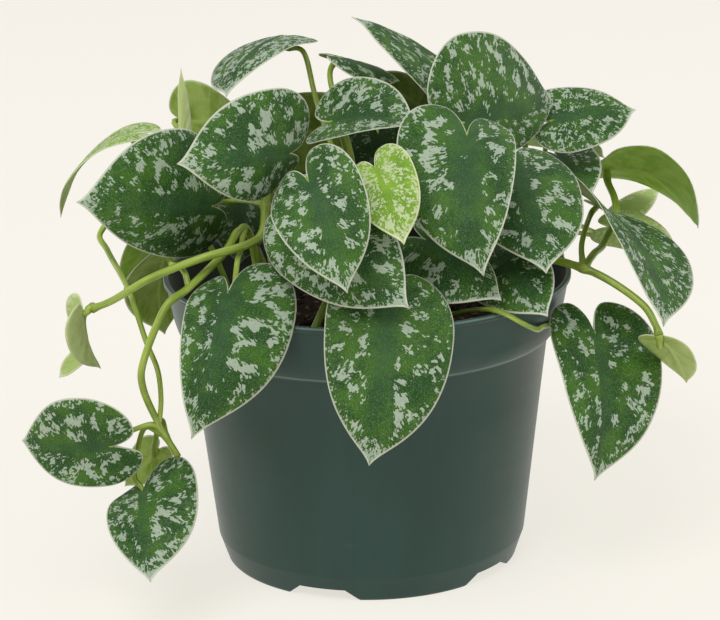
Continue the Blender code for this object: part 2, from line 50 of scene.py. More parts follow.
# Camera and studio
ELEVATION = 16.5  # degrees
ROLL = -1.08
SENSOR_WIDTH = 36.0
FOCAL_LENGTH = 140.15
CAMERA_DISTANCE = 1050.0
CAMERA_TARGET = (-2.9, 0, 94.5)
SKY_STRENGTH = 0.42
FLOOR_GLOW = 0.8

# Pot and soil: the part's own sizes, with finer sides
RIM_RADIUS = 76.0
POT_HEIGHT = 110.0
BAND_HEIGHT = 22.0
BODY_TOP_RADIUS = 67.3
BODY_FOOT_RADIUS = 58.2
CREASE_HEIGHT = 9.3
FOOT_RADIUS = 55.0
FOOT_RING_WIDTH = 7.5
FLOOR_HEIGHT = 4.6
POT_WALL = 1.3
POT_SIDES = 144
NOTCH_COUNT = 5
NOTCH_FIRST_ANGLE = -19.5  # degrees to the right of the front
NOTCH_HEIGHT = 4.3
NOTCH_TOP_WIDTH = 17.5
NOTCH_FOOT_WIDTH = 28.0
DRAIN_RADIUS = 4.5
DRAIN_RING_RADIUS = 34.0
DRAIN_SIDES = 32
SOIL_HEIGHT = 93.0
SOIL_RADIUS = 68.3
SOIL_RELIEF = 1.2
CRUMB_COUNT = 900
ROOT_DEPTH = 12.0
# Over the lip and down the band: how far inside the rim's radius, and below the pot's top
RIM_PROFILE = (
    (2.6, 2.5), (2.2, 0.6), (1.9, 0.15), (1.3, 0.05), (0.7, 0), (0.25, 0.2), (0, 0.7), (0.05, 1.5),
    (0.35, 2.0), (0.95, 2.3), (1.15, 2.8), (2.2, 8.5), (3.4, 15), (4.6, 19),
)
# Round the band's foot: how far inside the rim's radius, and above the foot
BAND_FOOT_PROFILE = ((6.2, 0.9), (6.75, 0.35), (7.0, 0), (7.3, -0.45))

# Stems, petioles and leaves
STEM_RADIUS = 1.6
BRANCH_SHARE = 0.75  # a branch's thickness, as a share of its stem's
PETIOLE_GAP = 0.4
STEM_POINT_SPACING = 10.0
STEM_SIDES = 14
PETIOLE_SIDES = 12
FINE_STEP = 1.2  # between a tube's rings
CURVE_STEPS = 12
CAD_THICKNESS = 0.8
LEAF_THICKNESS = 0.62
LEAF_ROWS = 42
LEAF_COLUMNS = 11
WAVE_LENGTH = 13
WAVE_HEIGHT = 0.55
VEIN_COUNT = 9
VEIN_HEIGHT = 0.09
GROOVE_DEPTH = 0.3  # over the midrib
RIDGE_HEIGHT = 0.55  # under it
# Half a blade whose midrib and width are 1: Bezier stretches from the sinus to the tip
HALF_OUTLINE = (
    ((0.0, 0.0), (-0.06, 0.015), (-0.22, 0.07), (-0.22, 0.18)),
    ((-0.22, 0.18), (-0.22, 0.33), (-0.08, 0.5), (0.15, 0.5)),
    ((0.15, 0.5), (0.62, 0.5), (0.78, 0.27), (0.9, 0.105)),
    ((0.9, 0.105), (0.94, 0.05), (0.965, 0.022), (1.0, 0.0)),
)
OUTLINE_SHARES = (0.22, 0.52, 0.93, 1.0)  # where each stretch ends
VEIN_LAG = 3.0  # how far back a row starts on the midrib


class Leaf(NamedTuple):
    """A blade and its petiole, as in the part's source."""

    base: tuple
    tip: tuple
    face: tuple  # degrees to the right of the front, and above the horizon
    root: int  # the route's point that the petiole grows from
    width: float = 0.8
    arch: float = 35.0  # degrees that the midrib turns down
    cup: tuple = (-0.12, -0.12)  # rise of the left and right margin, in half widths
    hook: float = 0.0
    twist: float = 0.0
    lean: float = 0.0
    meet: float = 85.0  # degrees between the midrib and the petiole's end
    reach: float = 8.0
    lift: float = 0.35
    via: tuple = ()
    branch: int = 0  # the route that it grows from
    stalk: float = 1.1  # the petiole's radius
    young: bool = False


class Vine(NamedTuple):
    """Stems that are grown together, and the leaves on them."""

    routes: list  # one that starts with two numbers stands in the soil
    leaves: dict
    radius: float = STEM_RADIUS


VINES = {}
VINES["vine_a"] = Vine([((-30, -24), (-34, -27, 118), (-36, -32, 144), (-37, -38, 136), (-42, -45, 133),
                         (-59, -56, 131), (-77, -52, 123), (-91, -44, 113), (-99, -41, 109))], {
    "leaf_a1": Leaf((-26, -37, 164), (-65, -67, 167), (-10, 11), 2, width=0.78, arch=53, cup=(-0.31, -0.16),
                    hook=-0.02, twist=32, lean=-0.17),
    "leaf_a2": Leaf((-55, -21, 141), (-102, -51, 151), (-8, 14), 2, arch=53, cup=(-0.35, -0.42), lean=-0.18,
                    via=((-47, -9, 140),)),
    "leaf_a3": Leaf((-103, -41, 107.6), (-97.5, -36, 84.7), (-91, -7), 8, arch=28, cup=(0.57, 0.68),
                    young=True),
    "leaf_a4": Leaf((-105, -25, 87), (-114, -25, 78), (-20, 30), 8, width=0.55, cup=(0.2, 0.2),
                    via=((-100, -33, 108), (-104, -26, 100)), young=True),
})
VINES["vine_b"] = Vine([
    ((-38, -14), (-42, -20, 128), (-46, -30, 134), (-51, -42, 129), (-63, -58, 121), (-71, -65, 116),
     (-79, -68, 98), (-80, -66, 87), (-75, -63, 72), (-69, -60, 59)),
    ((-50, 8), (-62, 4, 125), (-84, 2, 138), (-98, -4, 128), (-95, -14, 123), (-86, -38, 115),
     (-79, -56, 101), (-75, -61, 92), (-74, -63, 82), (-75, -63, 72)),
    ((-63, -58, 121), (-65, -53, 126), (-70, -47, 127)),
], {
    "leaf_b1": Leaf((-49, -62, 121), (-62, -91, 76), (6, 8), 2, width=0.65, arch=72, cup=(-0.22, 0.03),
                    twist=-57, lean=0.28, meet=40, via=((-45, -42, 130), (-46, -50, 128))),
    "leaf_b2": Leaf((-78, 38, 107), (-81, 46, 72), (-145, 0), 2, width=0.88, arch=44, cup=(-0.09, -0.16),
                    hook=-0.04, twist=14, lean=0.12, via=((-76, 18, 116), (-73, 29, 107)), branch=1),
    "leaf_b3": Leaf((-91, -68, 66), (-126, -48, 62), (-1, -7), 8, width=0.85, cup=(0.12, -0.21), twist=29,
                    lean=-0.1),
    "leaf_b4": Leaf((-77, -46, 57), (-90, -44, 42), (170, -10), 8, width=0.75),
    "leaf_b5": Leaf((-82, -60, 47), (-78, -93, 24), (-8, 14), 8, width=0.82, arch=48, cup=(-0.22, 0.17),
                    twist=-45, lean=0.24, meet=-50),
    "leaf_b6": Leaf((-86, 2, 163), (-113, 3, 132), (-106, 52), 2, arch=74, cup=(-0.07, 0.13), hook=0.05,
                    branch=1, young=True),
    "leaf_b7": Leaf((-85, 53, 110), (-92, 58, 86), (-147, 8), 2, cup=(-0.2, -0.12), hook=0.09,
                    via=((-84, 24, 124), (-81, 43, 109)), branch=1),
}, radius=1.5)
VINES["vine_c"] = Vine([((48, -6), (54, -10, 112), (64, -18, 118), (77, -26, 117), (88, -32, 113),
                         (99, -39, 106), (103, -44, 100), (104, -47, 97))], {
    "leaf_c1": Leaf((87, 9, 131), (107, -42, 98), (67, 29), 3, width=0.83, arch=46, cup=(0.28, 0.06),
                    hook=-0.02, twist=10, reach=4, via=((79, -13, 122),)),
    "leaf_c2": Leaf((95, 62, 132), (126, 30, 113), (138, 34), 3, width=0.87, arch=100, cup=(0.11, -0.33),
                    hook=-0.08, twist=-34, lean=-0.29, meet=88, reach=4.5, stalk=1.5,
                    via=((84, -8, 117), (88, 5, 116), (92, 20, 117), (96, 34, 120), (96.5, 46, 124))),
    "leaf_c3": Leaf((106, -40, 93), (115, -28, 73), (141, -11), 7, cup=(-0.1, -0.08), hook=-0.08, twist=13,
                    lift=0, young=True),
})
VINES["vine_d"] = Vine([((28, -44), (26, -44, 104), (24, -42, 112))], {
    "leaf_d1": Leaf((7, -74, 120), (-2, -93, 66), (7, 11), 2, width=0.77, arch=50, hook=0.02, twist=8,
                    lean=0.08, via=((15, -60, 111),)),
    "leaf_d2": Leaf((20, -37, 132), (47, -61, 115), (9, 45), 2, arch=27, width=0.81, cup=(-0.24, -0.35),
                    twist=-12, lean=-0.27),
    "leaf_d3": Leaf((46, -34, 124), (63, -65, 110), (2, 34), 2, width=0.83, cup=(-0.14, -0.15), lean=-0.08,
                    via=((36, -28, 115),)),
    "leaf_d4": Leaf((82, -32, 95), (77, -59, 47), (38, 0), 1, width=0.82, arch=50, cup=(0.16, -0.1),
                    hook=0.1, twist=-19, lean=0.14, meet=35, reach=0,
                    via=((36, -52, 109), (45, -61.5, 111.7), (55, -60, 106), (60, -50.5, 101),
                         (62.6, -41, 99), (65.6, -34.5, 97.8), (69.5, -28.5, 97.3), (75, -25.5, 97))),
})
VINES["vine_e"] = Vine([
    ((-22, -56), (-19, -54, 104), (-12, -48, 118)),
    ((-14, -58), (-13, -55, 104), (-12, -48, 118)),
], {
    "leaf_e1": Leaf((-24, -62, 147), (14, -85, 120), (-11, 29), 2, width=0.77, cup=(-0.12, -0.23), twist=-9,
                    lean=0.05),
    "leaf_e2": Leaf((-20, -79, 165), (-7, -100, 130), (10, 27), 2, width=0.76, arch=55, cup=(0, -0.15),
                    twist=-47, via=((-9, -44, 148), (-12, -54, 167))),
    "leaf_e3": Leaf((3, -64, 165), (12, -84, 142), (8, 27), 2, width=0.77, arch=46, cup=(0.05, -0.06),
                    hook=0.02, twist=-35, young=True),
})
VINES["vine_f"] = Vine([((0, -8), (-2, -4, 112), (-4, 4, 132))], {
    "leaf_f1": Leaf((-13, -10, 169), (20, -29, 175), (1, 54), 2, width=0.83, arch=23, cup=(0.02, 0.25),
                    hook=-0.11, twist=-16, lean=0.21),
    "leaf_f2": Leaf((-30, 30, 193), (-50, -10, 179), (13, 112), 2, arch=44, cup=(-0.09, -0.31), twist=24,
                    lean=-0.2, meet=50, reach=4, via=((-17, 20, 168), (-22, 28, 187))),
    "leaf_f3": Leaf((-9, 24, 186), (14, 34, 173), (0, 74), 2, arch=19, cup=(-0.32, -0.28), hook=0.08,
                    twist=22),
    "leaf_f4": Leaf((24, 55, 158), (0, 60, 171), (170, 20), 2, via=((21, 20, 142), (26, 42, 152))),
    "leaf_f5": Leaf((-6, 42, 152), (-50, 44, 154), (180, 25), 2, width=0.95, arch=20,
                    via=((-13, 22, 143), (-11, 34, 148))),
})
VINES["vine_g"] = Vine([((26, -4), (26, -8, 110), (26, -12, 126))], {
    "leaf_g1": Leaf((35, -12, 168), (71, 34, 169), (41, 7), 2, width=0.82, cup=(-0.24, -0.15), hook=-0.06,
                    twist=-12, lean=0.29),
    "leaf_g2": Leaf((36, -40, 171), (41, -78, 129), (-18, 30), 2, width=0.71, arch=52, cup=(0, 0.15),
                    hook=-0.02, twist=40, lean=-0.18, via=((29, -20, 150),)),
    "leaf_g3": Leaf((53.5, -18, 154.5), (61, -63, 125), (10, 35), 2, width=0.83, arch=28, cup=(-0.2, -0.25),
                    hook=0.03),
    "leaf_g4": Leaf((38, 28, 169), (-4, 25, 201), (81, 33), 2, arch=21, twist=10, meet=60),
})
VINES["vine_h"] = Vine([((46, 18), (52, 22, 112), (60, 28, 122))], {
    "leaf_h1": Leaf((70, 29, 159), (104, 41, 160), (8, 56), 2, width=0.85, arch=22, cup=(0, -0.19),
                    via=((66, 21, 140),)),
    "leaf_h2": Leaf((73, 42, 143.2), (84.5, 20, 131), (7, 29), 2, width=0.85, arch=36, hook=0.05, lean=0.15),
    "leaf_h3": Leaf((100, 72, 109), (118, 80, 119), (-10, 50), 2, width=0.6, arch=25, meet=30, lift=0.1,
                    young=True),
    "leaf_h4": Leaf((95, 49, 112), (121, 41, 102), (15, 60), 2, arch=47, cup=(-0.04, 0),
                    via=((72, 44, 113), (88, 52, 108)), young=True),
})
VINES["vine_i"] = Vine([((-36, 24), (-42, 26, 112), (-48, 28, 126))], {
    "leaf_i1": Leaf((-67, 43, 158), (-38, 20, 160), (177, 10), 2, width=0.83, arch=24, hook=0.06, twist=34,
                    lean=-0.09),
    "leaf_i2": Leaf((-67.5, 8, 150), (-67, 6, 187), (160, 0), 2, width=0.15, arch=4, cup=(0.8, 0.8), meet=10,
                    via=((-64, 14, 130), (-67.5, 6, 139)), young=True),
    "leaf_i3": Leaf((-47, 13, 136), (-48, 10, 110), (-10, 15), 2, width=0.9, arch=25),
})
VINES["vine_j"] = Vine([((-28, 44), (-30, 48, 112), (-34, 52, 128))], {
    "leaf_j1": Leaf((-52, 58, 138), (-84, 76, 122), (-130, 50), 2, width=0.82, arch=45, hook=0.04),
    "leaf_j2": Leaf((-34, 80, 120), (-42, 100, 74), (-160, 12), 1, arch=45, lean=0.1, lift=0.45),
    "leaf_j3": Leaf((-24, 63, 149), (-32, 99, 135), (-170, 55), 2, width=0.82, arch=40, twist=12),
})
VINES["vine_k"] = Vine([((8, 40), (8, 44, 112), (6, 46, 124))], {
    "leaf_k1": Leaf((2, 62, 136), (10, 104, 118), (175, 55), 2, arch=45, hook=-0.03),
    "leaf_k2": Leaf((28, 66, 143), (38, 98, 130), (165, 55), 2, twist=-12, via=((22, 50, 134),)),
    "leaf_k3": Leaf((16, 84, 116), (12, 99, 70), (178, 12), 1, arch=38, lean=-0.1,
                    via=((11, 60, 113), (14, 76, 117))),
    "leaf_k4": Leaf((5, 30, 157), (8, 30, 128), (0, 15), 2, width=0.9, arch=30, via=((7, 43, 142),)),
})
VINES["vine_l"] = Vine([((40, 36), (44, 42, 112), (48, 46, 122))], {
    "leaf_l1": Leaf((62, 62, 146), (96, 84, 131), (142, 42), 2, width=0.75, arch=30),
    "leaf_l2": Leaf((56, 64, 118), (72, 82, 72), (140, 12), 1, width=0.78, arch=42, lean=0.1,
                    via=((50, 54, 116),)),
})

# Each leaf's share of silver, the size of its patches, and how many millimetres stay clear at its midrib
LOOK = (0.45, 1.0, 2.8)
LOOKS = {
    "leaf_a1": (0.5, 1.2, 3.2), "leaf_a2": (0.44, 1.3, 3.6), "leaf_b1": (0.47, 1.2, 3.4),
    "leaf_b3": (0.46, 1.1, 2.2), "leaf_b5": (0.48, 1.1, 2.0), "leaf_b6": (0.62, 0.5, 0.6),
    "leaf_c1": (0.42, 0.8, 3.0),
    "leaf_d1": (0.38, 1.3, 4.0), "leaf_d2": (0.42, 1.2, 3.0), "leaf_d3": (0.4, 1.0, 2.6),
    "leaf_d4": (0.36, 1.3, 2.6), "leaf_e1": (0.52, 0.9, 2.4), "leaf_e2": (0.46, 1.0, 3.0),
    "leaf_e3": (0.58, 0.5, 1.0), "leaf_f1": (0.52, 0.8, 2.0), "leaf_f2": (0.6, 0.8, 1.6),
    "leaf_g1": (0.46, 1.2, 2.8), "leaf_g2": (0.44, 1.3, 5.0), "leaf_g3": (0.38, 1.2, 3.4),
    "leaf_g4": (0.44, 0.9, 1.6), "leaf_h1": (0.5, 0.7, 2.6), "leaf_h2": (0.4, 0.8, 2.4),
}
FRESH_LEAVES = ("leaf_e3", "leaf_b6")
# From 0 to 1: painted shade that darkens leaves deep in the crown, painted light shining through some
# undersides that brightens them, and how much paler an underside is
PAINTED_SHADE = {"leaf_f4": 0.8, "leaf_f5": 0.3, "leaf_i3": 0.8, "leaf_j2": 0.7, "leaf_k1": 0.7, "leaf_k4": 0.9}
PAINTED_LIGHT_THROUGH = {"leaf_b7": 0.8, "leaf_c2": 0.8, "leaf_l1": 0.7, "leaf_d4": 0.4}
WASHED = {"leaf_i2": 0.9, "leaf_a3": 0.5, "leaf_a4": 0.4, "leaf_b6": 0.3}


def rgb(red, green, blue):
    """A colour as a screen shows it, from 0 to 255, made linear."""
    return tuple(((c / 255 + 0.055) / 1.055) ** 2.4 for c in (red, green, blue)) + (1.0,)


def add_object(name, data):
    made = bpy.data.objects.new(name, data)
    bpy.context.scene.collection.objects.link(made)
    return made


# Shader nodes


class Nodes:
    """The nodes of one material, round its Principled shader."""

    def __init__(self, name):
        self.material = bpy.data.materials.new(name)
        self.material.use_nodes = True
        self.tree = self.material.node_tree
        self.shader = self.tree.nodes["Principled BSDF"]

    def feed(self, socket, value):
        """A link from another node, or a constant."""
        if isinstance(value, bpy.types.NodeSocket):
            self.tree.links.new(value, socket)
        else:
            socket.default_value = value

    def add(self, kind, values=(), **settings):
        """A node with settings, fed with (input, value) pairs."""
        made = self.tree.nodes.new("ShaderNode" + kind)
        for key, value in settings.items():
            setattr(made, key, value)
        for key, value in values:
            self.feed(made.inputs[key], value)
        return made

    def parts(self, vector):
        """The three numbers of a vector."""
        return tuple(self.add("SeparateXYZ", [(0, vector)]).outputs)

    def attribute(self, name):
        """A mesh attribute as a vector, and its three numbers."""
        vector = self.add("Attribute", attribute_name=name).outputs["Vector"]
        return vector, *self.parts(vector)

    def math(self, operation, *values):
        return self.add("Math", enumerate(values), operation=operation).outputs[0]

    def plus(self, first, second):
        return self.math("ADD", first, second)

    def minus(self, first, second):
        return self.math("SUBTRACT", first, second)

    def times(self, first, second):
        return self.math("MULTIPLY", first, second)

    def step(self, value, low, high):
        """0 at low, 1 at high, and smooth between. High may be the lower one."""
        values = (("Value", value), ("From Min", low), ("From Max", high))
        return self.add("MapRange", values, interpolation_type="SMOOTHSTEP").outputs[0]

    def stretch(self, vector, scale):
        return self.add("VectorMath", [(0, vector), (1, scale)], operation="MULTIPLY").outputs[0]

    def noise(self, vector, scale, detail, roughness):
        values = (("Vector", vector), ("Scale", scale), ("Detail", detail), ("Roughness", roughness))
        return self.add("TexNoise", values).outputs["Fac"]

    def cells(self, vector, scale):
        return self.add("TexVoronoi", (("Vector", vector), ("Scale", scale)), feature="F1").outputs

    def mix(self, share, low, high):
        """Between two colours."""
        return self.add("Mix", ((0, share), (6, low), (7, high)), data_type="RGBA").outputs[2]

    def blend(self, share, low, high):
        """Between two numbers."""
        return self.add("Mix", ((0, share), (2, low), (3, high)), data_type="FLOAT").outputs[0]

    def bump(self, height, distance, strength):
        values = (("Height", height), ("Distance", distance), ("Strength", strength))
        self.feed(self.shader.inputs["Normal"], self.add("Bump", values).outputs[0])

    def finish(self, colour, roughness, specular):
        """The material, once its shader has its main inputs."""
        self.feed(self.shader.inputs["Base Color"], colour)
        self.feed(self.shader.inputs["Roughness"], roughness)
        self.shader.inputs["Specular IOR Level"].default_value = specular
        return self.material


# Camera and studio


def add_camera():
    elevation, roll = math.radians(ELEVATION), math.radians(ROLL)
    back = Vector((0, -math.cos(elevation), math.sin(elevation)))
    level = Vector((1, 0, 0))
    steep = back.cross(level)
    right = level * math.cos(roll) + steep * math.sin(roll)
    up = steep * math.cos(roll) - level * math.sin(roll)
    camera = bpy.data.cameras.new("camera")
    camera.sensor_width = SENSOR_WIDTH
    camera.lens = FOCAL_LENGTH
    camera.clip_end = 100
    made = add_object("camera", camera)
    place = Vector(CAMERA_TARGET) * MM + back * (CAMERA_DISTANCE * MM)
    made.matrix_world = Matrix.Translation(place) @ Matrix((right, up, back)).transposed().to_4x4()
    bpy.context.scene.camera = made


def add_light(name, place, target, size, power):
    light = bpy.data.lights.new(name, "AREA")
    light.shape = "DISK"
    light.size = size
    light.energy = power
    made = add_object(name, light)
    made.location = place
    made.rotation_euler = (Vector(target) - Vector(place)).to_track_quat("-Z", "Y").to_euler()
    made.visible_camera = False


def add_studio():
    world = bpy.data.worlds.new("studio")
    world.use_nodes = True
    sky = world.node_tree.nodes["Background"]
    sky.inputs["Color"].default_value = (1.0, 0.985, 0.95, 1)
    sky.inputs["Strength"].default_value = SKY_STRENGTH
    bpy.context.scene.world = world
    add_light("key", (-0.5, -1.2, 1.7), (0, 0, 0.1), 1.4, 26)
    add_light("fill", (1.3, -0.8, 1.1), (0, 0, 0.1), 1.2, 7)
    add_light("back", (0.1, 1.3, 1.4), (0, 0, 0.12), 1.2, 5)
    for side in (-1, 1):
        add_light(f"edge_{side + 2}", (side * 1.5, 0.7, 0.35), (0, 0, 0.06), 1.1, 5)
    corners = ((-8000, -8000, 0), (8000, -8000, 0), (8000, 8000, 0), (-8000, 8000, 0))
    floor = add_object("floor", new_mesh("floor", corners, [(0, 1, 2, 3)]))
    # Mostly a glow of its own, so that shadows on it stay as faint as in the photograph
    n = Nodes("studio_floor")
    n.shader.inputs["Emission Color"].default_value = rgb(244, 240, 231)
    n.shader.inputs["Emission Strength"].default_value = FLOOR_GLOW
    floor.data.materials.append(n.finish((0.22, 0.215, 0.2, 1), 1.0, 0.0))


# Materials


class Tone(NamedTuple):
    """Colours of one kind of leaf."""

    green: tuple
    bright: tuple
    rib: tuple
    silver: tuple
    margin: tuple
    under: tuple
    under_rib: tuple


GROWN = Tone(rgb(32, 70, 22), rgb(60, 100, 24), rgb(50, 82, 56), rgb(165, 180, 160), rgb(198, 203, 182),
             rgb(108, 134, 40), rgb(146, 168, 84))
FRESH = Tone(rgb(104, 144, 34), rgb(130, 170, 48), rgb(124, 158, 62), rgb(190, 202, 160), rgb(214, 220, 178),
             rgb(134, 162, 66), rgb(170, 192, 108))
PALE = Tone(rgb(150, 174, 92), rgb(172, 192, 116), rgb(170, 190, 118), rgb(200, 210, 172), rgb(208, 214, 176),
            rgb(156, 178, 92), rgb(184, 200, 128))


def silver_patches(n, veins, flat):
    """Where a blade is silver, from 0 to 1: ragged patches of small cells that lie along the veins."""
    _, along, from_rib, from_margin = n.attribute("blade")
    _, silver, size, clear = n.attribute("look")
    cells = n.cells(n.stretch(veins, (0.62, 1.05, 1.0)), 1.0)
    # Each cell reads the patches a little off its own place, which makes their edges ragged
    shift = n.stretch(cells["Color"], (2.0, 2.0, 0.0))
    place = n.add("VectorMath", [(0, flat), (1, shift)], operation="ADD").outputs[0]
    coarse = n.noise(place, n.math("DIVIDE", 0.3, size), 1.5, 0.5)
    fine = n.noise(place, 0.62, 1.0, 0.5)
    outer = n.math("MAXIMUM", n.step(from_margin, 4.2, 1.2), n.step(along, 0.7, 0.92))
    field = n.blend(n.times(outer, 0.75), coarse, fine)
    chance = n.parts(cells["Color"])[2]
    field = n.plus(field, n.times(n.minus(chance, 0.5), 0.1))
    field = n.plus(field, n.times(n.minus(silver, 0.5), 0.34))
    # Less silver along the midrib, and more at the tip and the margin
    middle = n.times(n.step(n.math("DIVIDE", from_rib, clear), 1.3, 0.5), n.step(along, 0.86, 0.62))
    field = n.minus(field, n.times(middle, 0.2))
    field = n.plus(field, n.times(n.step(along, 0.8, 0.98), 0.13))
    field = n.plus(field, n.times(n.step(from_margin, 1.6, 0.7), 0.04))
    return n.step(field, 0.543, 0.563)


def leaf_upper(name, tone):
    """Mottled green with silver patches, another green along the midrib and a pale margin."""
    n = Nodes(name)
    veins, flat = n.attribute("veins")[0], n.attribute("flat")[0]
    _, along, from_rib, from_margin = n.attribute("blade")
    clear, painted_shade_share = n.attribute("look")[3], n.attribute("shade")[1]
    patch = silver_patches(n, veins, flat)
    soft = n.noise(flat, 0.1, 2.0, 0.5)
    grain = n.noise(n.stretch(veins, (0.45, 1.6, 1.0)), 1.4, 2.0, 0.7)
    mottle = n.plus(soft, n.times(n.minus(grain, 0.5), 0.7))
    green = n.mix(n.step(mottle, 0.36, 0.7), tone.green, tone.bright)
    # Painted light shining through the thin blade, brighter towards the margin
    green = n.mix(n.times(n.step(from_margin, 5.0, 0.5), 0.35), green, tone.bright)
    speckle = n.step(n.noise(flat, 2.4, 1.0, 0.5), 0.5, 0.72)
    green = n.mix(n.times(speckle, 0.22), green, tone.silver)
    near_rib = n.math("DIVIDE", n.plus(from_rib, n.times(grain, 3.0)), clear)
    zone = n.times(n.step(near_rib, 2.3, 0.4), n.step(along, 1.0, 0.3))
    green = n.mix(n.times(zone, 0.5), green, tone.rib)
    # Some green shows through the silver
    shine = n.mix(n.times(n.step(grain, 0.45, 0.75), 0.28), tone.silver, tone.green)
    colour = n.mix(n.times(patch, n.blend(soft, 0.8, 1.0)), green, shine)
    # The margin is a thread at the lobes and broader towards the tip
    breadth = n.blend(n.math("MAXIMUM", along, 0.0), 0.28, 0.56)
    line = n.step(n.minus(from_margin, breadth), 0.22, -0.05)
    colour = n.mix(n.times(line, 0.92), colour, tone.margin)
    # Painted shade: leaves deep in the crown are darkened
    colour = n.mix(n.times(painted_shade_share, 0.8), colour, rgb(14, 30, 10))
    n.bump(n.plus(n.times(grain, 0.4), n.times(patch, 0.25)), 0.00012, 0.6)
    return n.finish(colour, n.blend(patch, 0.58, 0.46), 0.16)


def leaf_under(name, tone):
    """Plain paler green, with the veins as faint lines."""
    n = Nodes(name)
    veins, _, across_veins, _ = n.attribute("veins")
    _, _, from_rib, from_margin = n.attribute("blade")
    _, painted_shade_share, bright, washed = n.attribute("shade")
    soft = n.noise(veins, 0.12, 3.0, 0.6)
    grain = n.noise(n.stretch(veins, (0.35, 1.0, 1.0)), 1.6, 3.0, 0.7)
    mottle = n.step(n.plus(soft, n.times(grain, 0.3)), 0.45, 0.85)
    colour = n.mix(mottle, tone.under, tone.under_rib)
    colour = n.mix(n.times(washed, n.step(grain, 0.75, 0.25)), colour, tone.margin)
    # Painted light shining through the blade: some undersides brightened to a vivid green
    painted_glow_colour = n.mix(n.step(soft, 0.35, 0.7), rgb(122, 164, 30), rgb(150, 186, 66))
    colour = n.mix(bright, colour, painted_glow_colour)
    waves = n.math("SINE", n.times(across_veins, 1.25))
    colour = n.mix(n.times(n.step(waves, 0.82, 1.0), 0.35), colour, tone.under_rib)
    colour = n.mix(n.step(from_rib, 1.3, 0.5), colour, tone.under_rib)
    colour = n.mix(n.times(n.step(from_margin, 0.6, 0.3), 0.7), colour, tone.margin)
    # Painted shade: leaves deep in the crown are darkened
    colour = n.mix(n.times(painted_shade_share, 0.8), colour, rgb(24, 44, 8))
    n.bump(n.plus(grain, n.times(waves, 0.4)), 0.00015, 0.6)
    return n.finish(colour, n.blend(grain, 0.5, 0.66), 0.2)


def stem_material():
    """Yellow-green with fine paler streaks along the stem and small raised dots."""
    n = Nodes("stem_green")
    place = n.attribute("stem")[0]
    streak = n.noise(n.stretch(place, (2.2, 0.1, 1.0)), 1.0, 3.0, 0.65)
    soft = n.noise(n.stretch(place, (0.3, 0.05, 1.0)), 1.0, 2.0, 0.5)
    dot = n.step(n.cells(n.stretch(place, (1.0, 0.6, 1.0)), 1.1)["Distance"], 0.2, 0.1)
    colour = n.mix(n.step(soft, 0.3, 0.7), rgb(108, 134, 34), rgb(150, 172, 62))
    colour = n.mix(n.times(n.step(streak, 0.5, 0.72), 0.6), colour, rgb(198, 210, 126))
    colour = n.mix(n.times(dot, 0.3), colour, rgb(196, 208, 150))
    n.bump(n.plus(n.times(streak, 0.8), dot), 0.00015, 0.7)
    return n.finish(colour, n.blend(streak, 0.26, 0.48), 0.5)


def pot_material():
    """Moulded plastic: nearly even, with faint flow marks, fine grain and a few dull scuffs."""
    n = Nodes("pot_plastic")
    place = n.add("TexCoord").outputs["Object"]
    flow = n.noise(n.stretch(place, (60, 60, 8)), 1.0, 3.0, 0.6)
    grain = n.noise(place, 1800, 2.0, 0.6)
    scuff = n.noise(n.stretch(place, (70, 70, 160)), 1.0, 4.0, 0.7)
    colour = n.mix(n.step(flow, 0.3, 0.7), rgb(12, 52, 45), rgb(18, 58, 50))
    colour = n.mix(n.times(n.step(scuff, 0.6, 0.75), 0.25), colour, rgb(44, 78, 70))
    # Painted highlight where the band's foot and the rim's top catch the light
    height = n.times(n.parts(place)[2], 1 / MM)
    foot, rim = (n.math("ABSOLUTE", n.minus(height, level))
                 for level in (POT_HEIGHT - BAND_HEIGHT + 0.6, POT_HEIGHT - 0.5))
    painted_highlight = n.math("MAXIMUM", n.step(foot, 0.7, 0.25), n.step(rim, 0.5, 0.2))
    colour = n.mix(n.times(painted_highlight, n.blend(scuff, 0.3, 0.7)), colour, rgb(110, 138, 128))
    # Painted shade on the inside, which faces the axis: it is darkened nearly to black
    outward = n.stretch(place, (1, 1, 0))
    normal = n.add("NewGeometry").outputs["Normal"]
    facing = n.add("VectorMath", [(0, outward), (1, normal)], operation="DOT_PRODUCT").outputs["Value"]
    colour = n.mix(n.times(n.step(facing, -0.01, -0.04), 0.85), colour, rgb(16, 18, 14))
    n.shader.inputs["Sheen Weight"].default_value = 0.2
    n.shader.inputs["Sheen Roughness"].default_value = 0.3
    n.bump(n.plus(grain, n.times(flow, 2.0)), 0.00004, 0.5)
    return n.finish(colour, n.plus(0.4, n.times(scuff, 0.12)), 0.5)


def soil_material():
    """Peaty mix: dark crumbs with lighter fibres and grit."""
    n = Nodes("potting_soil")
    place = n.add("TexCoord").outputs["Object"]
    crumbs = n.cells(place, 620)
    fine = n.noise(place, 900, 4.0, 0.7)
    grit = n.step(n.parts(crumbs["Color"])[0], 0.9, 0.93)
    colour = n.mix(fine, rgb(16, 12, 9), rgb(48, 36, 26))
    colour = n.mix(n.times(grit, 0.8), colour, rgb(98, 78, 56))
    n.bump(n.minus(n.times(fine, 0.7), crumbs["Distance"]), 0.0012, 1.0)
    return n.finish(colour, 0.95, 0.2)


# Meshes


def new_mesh(name, points, faces, attributes=()):
    """Points in millimetres. Each attribute is (name, three numbers for each point)."""
    mesh = bpy.data.meshes.new(name)
    mesh.from_pydata([tuple(p) for p in np.asarray(points, float) * MM], [], faces)
    for key, values in attributes:
        layer = mesh.attributes.new(key, "FLOAT_VECTOR", "POINT")
        layer.data.foreach_set("vector", np.asarray(values, np.float32).ravel())
    mesh.shade_smooth()
    return mesh


def bulge(distance, breadth):
    """1 at no distance, falling off smoothly over the breadth."""
    return np.exp(-((distance / breadth) ** 2))


def path_length(points):
    return sum((Vector(b) - Vector(a)).length for a, b in zip(points, points[1:]))


